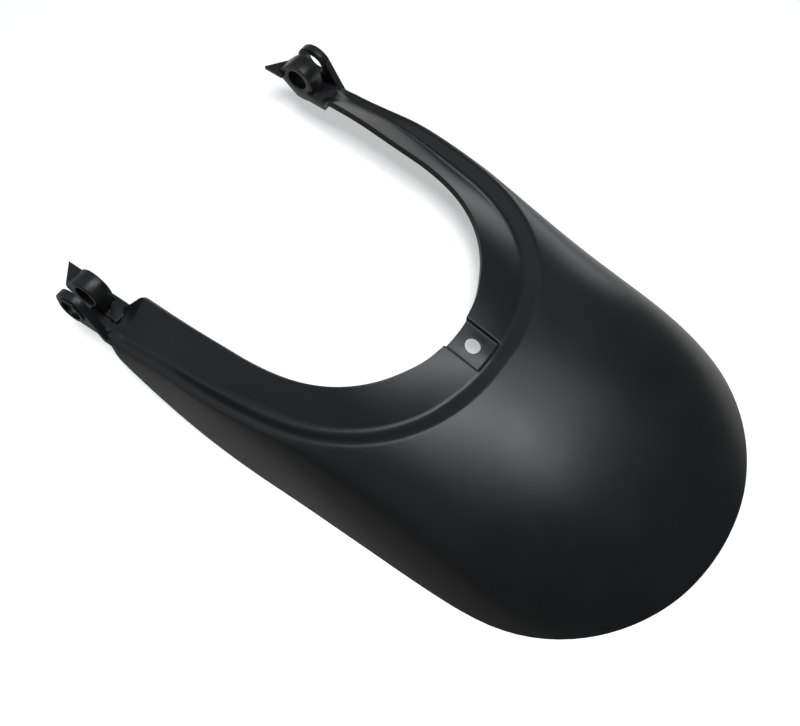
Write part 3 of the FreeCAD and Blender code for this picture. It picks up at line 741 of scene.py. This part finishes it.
    def build(self, side: Side) -> bpy.types.Object:
        """Build one clip.

        Args:
            side: which arm it ends.

        Returns:
            The finished object.
        """
        bm = bmesh.new()
        bore = Vector((self.inner, self.bore_y, self.bore_rise))
        self.plate(bm, self.eye_outline(), "X", bore, self.eye_length, self.bore, self.fine_round)
        ear_x = self.eye_length + self.slot_width
        ear = bore + Vector((ear_x, 0, 0))
        self.plate(bm, self.ear_outline(), "X", ear, self.ear_width, self.bore, self.ear_round)
        turns = [2 * math.pi * i / (2 * self.arc_steps) for i in range(2 * self.arc_steps)]
        collar_radius = self.collar_diameter / 2
        collar = [(collar_radius * math.cos(a), collar_radius * math.sin(a)) for a in turns]
        self.plate(bm, collar, "X", ear + Vector((self.ear_width - self.collar_seat, 0, 0)),
                   self.collar_width + self.collar_seat, self.bore, self.fine_round)
        wide = self.eye_length + self.bar_inset
        fin_back = self.nose_reach - self.fin_root
        fin = [(0, self.fin_reach), (0, fin_back), (wide, fin_back), (wide, self.nose_reach)]
        bar = bore - Vector((self.bar_inset, 0, 0))
        fin_foot = bar - Vector((0, 0, self.fin_drop + self.fin_width))
        self.plate(bm, fin, "Z", fin_foot, self.fin_width, 0, self.fine_round)
        gap = Vector((0, self.neck_length - self.reach, -self.floor_drop))
        deep = wide + self.web_lip
        web = [(self.web_start, -self.web_root), (deep, -self.web_root), (deep, self.web_lip),
               (self.bar_inset, self.gusset_reach), (self.web_start, self.gusset_reach)]
        self.plate(bm, web, "Z", bar + gap, self.bar_width + self.web_extra, 0, self.fine_round)
        slot_floor = rectangle((self.floor_start, -self.floor_root),
                               (ear_x + self.floor_overlap, self.floor_length))
        self.plate(bm, slot_floor, "Z", bore + gap, self.floor_height, 0, self.fine_round)
        block = rectangle((self.block_start, self.block_root - self.neck_length),
                          (ear_x + self.block_overlap, 0))
        self.plate(bm, block, "Z", bore + gap - Vector((0, 0, self.block_drop)), self.block_height, 0,
                   self.fine_round)
        if side is Side.LEFT:
            bmesh.ops.scale(bm, vec=(-1, 1, 1), verts=bm.verts[:])
        bmesh.ops.recalc_face_normals(bm, faces=bm.faces)
        return finished_object("clip_" + side.name.lower(), bm, math.radians(35))


class Grain:
    """Shader node group of the fine mould grain and the cloudy handling marks."""

    NAME = "mould_grain"

    @classmethod
    def group(cls) -> bpy.types.ShaderNodeTree:
        """The group, built the first time it is asked for."""
        if cls.NAME in bpy.data.node_groups:
            return bpy.data.node_groups[cls.NAME]
        tree = bpy.data.node_groups.new(cls.NAME, "ShaderNodeTree")
        for name, value in (("Grain Scale", 1800.0), ("Cloud Scale", 38.0), ("Cloud Sharpness", 0.2)):
            socket = tree.interface.new_socket(name, in_out="INPUT", socket_type="NodeSocketFloat")
            socket.default_value = value
        for name in ("Height", "Cloud"):
            tree.interface.new_socket(name, in_out="OUTPUT", socket_type="NodeSocketFloat")
        entry = tree.nodes.new("NodeGroupInput")
        leave = tree.nodes.new("NodeGroupOutput")
        place = tree.nodes.new("ShaderNodeTexCoord")
        grain = tree.nodes.new("ShaderNodeTexNoise")
        grain.inputs["Detail"].default_value = 2.0
        cloud = tree.nodes.new("ShaderNodeTexNoise")
        cloud.inputs["Detail"].default_value = 4.0
        cloud.inputs["Roughness"].default_value = 0.55
        span = tree.nodes.new("ShaderNodeMapRange")
        span.inputs["From Max"].default_value = 0.72
        tree.links.new(place.outputs["Object"], grain.inputs["Vector"])
        tree.links.new(place.outputs["Object"], cloud.inputs["Vector"])
        tree.links.new(entry.outputs["Grain Scale"], grain.inputs["Scale"])
        tree.links.new(entry.outputs["Cloud Scale"], cloud.inputs["Scale"])
        tree.links.new(entry.outputs["Cloud Sharpness"], span.inputs["From Min"])
        tree.links.new(cloud.outputs["Fac"], span.inputs["Value"])
        tree.links.new(grain.outputs["Fac"], leave.inputs["Height"])
        tree.links.new(span.outputs["Result"], leave.inputs["Cloud"])
        return tree


@dataclass(frozen=True)
class SatinPlastic:
    """Black plastic, smooth from the mould, with a soft sheen."""

    name: str
    dark: Triple
    hazy: Triple
    roughness: Flat
    grain_scale: float
    grain_height: float
    cloud_scale: float

    def material(self) -> bpy.types.Material:
        """Node material of the finish."""
        made = bpy.data.materials.new(self.name)
        made.use_nodes = True
        tree = made.node_tree
        shader = tree.nodes["Principled BSDF"]
        shader.inputs["IOR"].default_value = 1.5
        grain = tree.nodes.new("ShaderNodeGroup")
        grain.node_tree = Grain.group()
        grain.inputs["Grain Scale"].default_value = self.grain_scale
        grain.inputs["Cloud Scale"].default_value = self.cloud_scale
        tint = tree.nodes.new("ShaderNodeMix")
        tint.data_type = "RGBA"
        tint.inputs["A"].default_value = (*self.dark, 1)
        tint.inputs["B"].default_value = (*self.hazy, 1)
        gloss = tree.nodes.new("ShaderNodeMapRange")
        gloss.inputs["To Min"].default_value = self.roughness[0]
        gloss.inputs["To Max"].default_value = self.roughness[1]
        bump = tree.nodes.new("ShaderNodeBump")
        bump.inputs["Strength"].default_value = 0.25
        bump.inputs["Distance"].default_value = self.grain_height
        tree.links.new(grain.outputs["Cloud"], tint.inputs["Factor"])
        tree.links.new(tint.outputs["Result"], shader.inputs["Base Color"])
        tree.links.new(grain.outputs["Cloud"], gloss.inputs["Value"])
        tree.links.new(gloss.outputs["Result"], shader.inputs["Roughness"])
        tree.links.new(grain.outputs["Height"], bump.inputs["Height"])
        tree.links.new(bump.outputs["Normal"], shader.inputs["Normal"])
        return made


SKIN_FINISH = SatinPlastic(
    name="satin_black_skin", dark=(0.011, 0.011, 0.012), hazy=(0.015, 0.015, 0.016),
    roughness=(0.28, 0.34), grain_scale=1800.0, grain_height=0.02 * MM, cloud_scale=38.0)
CLIP_FINISH = SatinPlastic(
    name="satin_black_clip", dark=(0.010, 0.010, 0.011), hazy=(0.015, 0.015, 0.016),
    roughness=(0.28, 0.38), grain_scale=1500.0, grain_height=0.03 * MM, cloud_scale=90.0)


@dataclass(frozen=True)
class SoftLamp:
    """A soft light aimed at the object: the way to it, its size and its power in watts."""

    name: str
    toward: Triple
    size: Flat
    power: float
    long_way: Triple = (0.0, 1.0, 0.0)

    def build(self, distance: float, colour: Triple) -> bpy.types.Object:
        """Hang the light.

        Args:
            distance: how far from the object it hangs.
            colour: colour of its light.

        Returns:
            The light's object.
        """
        data = bpy.data.lights.new(self.name, "AREA")
        data.shape = "RECTANGLE"
        data.size, data.size_y = self.size
        data.energy = self.power
        data.color = colour
        lamp = bpy.data.objects.new(self.name, data)
        way = Vector(self.toward).normalized()
        lamp.location = way * distance
        width = Vector(self.long_way)
        width = (width - way * width.dot(way)).normalized()
        lamp.rotation_euler = Matrix((width, way.cross(width), way)).transposed().to_euler()
        bpy.context.scene.collection.objects.link(lamp)
        return lamp


SHEEN_LAMPS = (
    SoftLamp("key_light", (0.265, -0.165, 0.95), (0.78, 0.11), 3.9, (-0.25, 1.0, 0.0)),
    SoftLamp("top_light", (0.03, -0.03, 1.0), (0.25, 0.25), 0.7),
    SoftLamp("far_light", (0.965, 0.101, 0.242), (0.5, 0.5), 1.9),
)
SHADOW_LAMP = SoftLamp("shadow_light", (-0.29, -0.20, 0.936), (0.22, 0.22), 20.0)


@dataclass
class Studio:
    """Pale floor, soft lights and the camera."""

    floor_half: float = 3.0
    floor_colour: Triple = (0.86, 0.86, 0.87)
    floor_glow: float = 0.42
    fade_span: Flat = (0.20, 0.42)
    floor_mirror: Flat = (0.26, 0.75)
    mirror_span: Flat = (-0.05, 0.12)
    eye: Triple = (-0.2152, -0.13485, 0.4816)
    aim: Triple = (0.38365, 0.27449, -0.88175)
    lens: float = 54.0
    sensor: float = 36.0
    lamp_distance: float = 1.2
    lamp_colour: Triple = (0.94, 0.97, 1.0)
    sky_low: float = 0.09
    sky_high: float = 0.55
    sky_edge: float = 0.4
    bright_side: Triple = (-0.35, 0.61, 0.71)

    def mirrored(self, tree: bpy.types.ShaderNodeTree) -> bpy.types.NodeSocket:
        """Floor as the object mirrors it: painted light and a painted reflection, a glow that every ray but
        the camera's sees, brighter on its far side.
        """
        place = tree.nodes.new("ShaderNodeTexCoord")
        parts = tree.nodes.new("ShaderNodeSeparateXYZ")
        across = tree.nodes.new("ShaderNodeMapRange")
        across.inputs["From Min"].default_value = self.mirror_span[0]
        across.inputs["From Max"].default_value = self.mirror_span[1]
        across.inputs["To Min"].default_value = self.floor_mirror[0]
        across.inputs["To Max"].default_value = self.floor_mirror[1]
        # painted reflection: an emission whose strength rises along X, standing in for a brighter far side
        # of the room
        glow = tree.nodes.new("ShaderNodeEmission")
        tree.links.new(place.outputs["Object"], parts.inputs[0])
        tree.links.new(parts.outputs["X"], across.inputs["Value"])
        tree.links.new(across.outputs["Result"], glow.inputs["Strength"])
        return glow.outputs[0]

    def shadowed(self, tree: bpy.types.ShaderNodeTree) -> bpy.types.NodeSocket:
        """Floor as the camera sees it: shaded near the object, plain white further out."""
        matt = tree.nodes.new("ShaderNodeBsdfDiffuse")
        matt.inputs["Color"].default_value = (*self.floor_colour, 1)
        glow = tree.nodes.new("ShaderNodeEmission")
        shown = tree.nodes.new("ShaderNodeMixShader")
        place = tree.nodes.new("ShaderNodeTexCoord")
        away = tree.nodes.new("ShaderNodeVectorMath")
        away.operation = "LENGTH"
        fade = tree.nodes.new("ShaderNodeMapRange")
        fade.inputs["From Min"].default_value = self.fade_span[0]
        fade.inputs["From Max"].default_value = self.fade_span[1]
        fade.inputs["To Min"].default_value = self.floor_glow
        tree.links.new(place.outputs["Object"], away.inputs[0])
        tree.links.new(away.outputs["Value"], fade.inputs["Value"])
        tree.links.new(fade.outputs["Result"], shown.inputs[0])
        tree.links.new(matt.outputs[0], shown.inputs[1])
        tree.links.new(glow.outputs[0], shown.inputs[2])
        return shown.outputs[0]

    def for_camera(self, tree: bpy.types.ShaderNodeTree, seen: bpy.types.NodeSocket,
                   unseen: bpy.types.NodeSocket) -> bpy.types.NodeSocket:
        """Shader that shows one thing to the camera and another to every other ray.

        Args:
            tree: the node tree.
            seen: shader for the camera.
            unseen: shader for reflections and light.

        Returns:
            The mixed shader.
        """
        path = tree.nodes.new("ShaderNodeLightPath")
        both = tree.nodes.new("ShaderNodeMixShader")
        tree.links.new(path.outputs["Is Camera Ray"], both.inputs[0])
        tree.links.new(unseen, both.inputs[1])
        tree.links.new(seen, both.inputs[2])
        return both.outputs[0]

    def floor(self) -> bpy.types.Object:
        """Pale floor that keeps the shadow of the object."""
        bm = bmesh.new()
        bmesh.ops.create_grid(bm, x_segments=1, y_segments=1, size=self.floor_half)
        mesh = bpy.data.meshes.new("floor")
        bm.to_mesh(mesh)
        bm.free()
        floor = bpy.data.objects.new("floor", mesh)
        floor.location.z = cad_low.z
        bpy.context.scene.collection.objects.link(floor)
        made = bpy.data.materials.new("pale_floor")
        made.use_nodes = True
        tree = made.node_tree
        tree.nodes.remove(tree.nodes["Principled BSDF"])
        shader = self.for_camera(tree, self.shadowed(tree), self.mirrored(tree))
        tree.links.new(shader, tree.nodes["Material Output"].inputs["Surface"])
        mesh.materials.append(made)
        return floor

    def world(self) -> None:
        """Soft sky, brighter on one side, and white where the camera sees it."""
        world = bpy.data.worlds.new("studio")
        world.use_nodes = True
        tree = world.node_tree
        sky = tree.nodes["Background"]
        sky.inputs["Color"].default_value = (*self.lamp_colour, 1)
        way = tree.nodes.new("ShaderNodeTexCoord")
        facing = tree.nodes.new("ShaderNodeVectorMath")
        facing.operation = "DOT_PRODUCT"
        facing.inputs[1].default_value = self.bright_side
        level = tree.nodes.new("ShaderNodeMapRange")
        level.inputs["From Min"].default_value = self.sky_edge
        level.inputs["To Min"].default_value = self.sky_low
        level.inputs["To Max"].default_value = self.sky_high
        tree.links.new(way.outputs["Generated"], facing.inputs[0])
        tree.links.new(facing.outputs["Value"], level.inputs["Value"])
        tree.links.new(level.outputs["Result"], sky.inputs["Strength"])
        white = tree.nodes.new("ShaderNodeBackground")
        white.inputs["Color"].default_value = (1, 1, 1, 1)
        shader = self.for_camera(tree, white.outputs[0], sky.outputs[0])
        tree.links.new(shader, tree.nodes["World Output"].inputs["Surface"])
        bpy.context.scene.world = world

    def camera(self) -> bpy.types.Object:
        """Camera at the photograph's place."""
        data = bpy.data.cameras.new("camera")
        data.lens = self.lens
        data.sensor_width = self.sensor
        camera = bpy.data.objects.new("camera", data)
        camera.location = self.eye
        camera.rotation_euler = Vector(self.aim).to_track_quat("-Z", "Y").to_euler()
        bpy.context.scene.collection.objects.link(camera)
        bpy.context.scene.camera = camera
        return camera

    def light_only(self, lamps: tuple[SoftLamp, ...], name: str, things: list[bpy.types.Object]) -> None:
        """Hang some lamps that light only the things given.

        Args:
            lamps: the lamps.
            name: name of the collection that holds the things.
            things: what the lamps may light.
        """
        lit = bpy.data.collections.new(name)
        for thing in things:
            lit.objects.link(thing)
        for lamp in lamps:
            hung = lamp.build(self.lamp_distance, self.lamp_colour)
            hung.light_linking.receiver_collection = lit

    def build(self, pieces: list[bpy.types.Object]) -> None:
        """Set the stage round the pieces of the object."""
        floor = self.floor()
        self.light_only(SHEEN_LAMPS, "lit_by_sheen_lights", pieces)
        self.light_only((SHADOW_LAMP,), "lit_by_shadow_light", [floor])
        self.world()
        self.camera()
        bpy.context.scene.view_settings.view_transform = "Standard"


def main() -> None:
    """Build every piece, dress it and set the stage."""
    logging.basicConfig(level=logging.INFO)
    skin = Skin().build()
    skin.data.materials.append(SKIN_FINISH.material())
    clip_material = CLIP_FINISH.material()
    clips = [Clip().build(side) for side in Side]
    for clip in clips:
        clip.data.materials.append(clip_material)
    Studio().build([skin] + clips)


if __name__ == "__main__":
    main()
